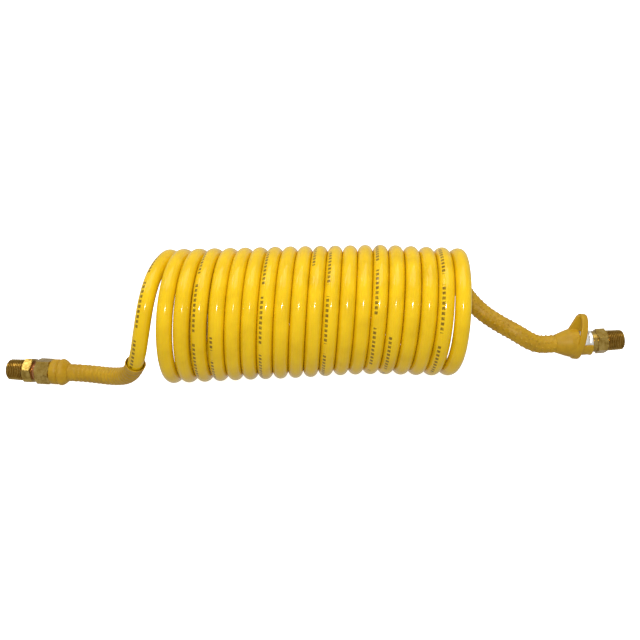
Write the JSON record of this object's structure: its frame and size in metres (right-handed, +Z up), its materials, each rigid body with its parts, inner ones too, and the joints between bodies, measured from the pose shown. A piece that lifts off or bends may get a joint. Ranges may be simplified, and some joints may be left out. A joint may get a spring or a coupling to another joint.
{
  "type": "coiled air hose",
  "caption": "Coiled recoil air hose with a swivelling threaded fitting at one end, a rigid threaded fitting with a looped grip at the other, and guard sleeves.",
  "frame": {"origin": "on the surface that the hose lies on, under the middle of the box around its fittings, sleeves and grip", "axes": "+X along the coil's axis from the swivel end to the rigid end, +Z up, and the left tail leaves the coil on the -Y side"},
  "size_m": [0.5106, 0.1073, 0.106],
  "materials": {
    "hose_plastic": "smooth glossy yellow polyamide tube",
    "guard_plastic": "satin moulded mustard-yellow plastic",
    "fitting_brass": "turned and milled brass",
    "washer_copper": "reddish bronze washer",
    "ferrule_steel": "bright plated crimp sleeve",
    "clip_steel": "spring steel",
    "seal_rubber": "black nitrile rubber"
  },
  "bodies": {
    "hose": {"hose_coil": "hose_plastic", "left_hose_tail": "hose_plastic", "right_hose_tail": "hose_plastic", "left_hose_end": "hose_plastic", "right_hose_end": "hose_plastic", "left_guard_sleeve": "guard_plastic", "right_guard_sleeve": "guard_plastic", "left_guard_collar": "guard_plastic", "grip_handle": "guard_plastic", "swivel_body": "fitting_brass", "rigid_adapter": "fitting_brass", "swivel_washer": "washer_copper", "swivel_clip": "clip_steel", "left_ferrule": "ferrule_steel", "right_ferrule": "ferrule_steel"},
    "swivel": {"swivel_stem": "fitting_brass", "front_seal": "seal_rubber", "rear_seal": "seal_rubber"}
  },
  "joints": [
    {"name": "left_swivel", "type": "hinge", "parent": "hose", "child": "swivel", "pos_m": [-0.25455, -0.0139, 0.01492], "axis": [-0.9962, 0, 0.0872], "continuous": true}
  ]
}
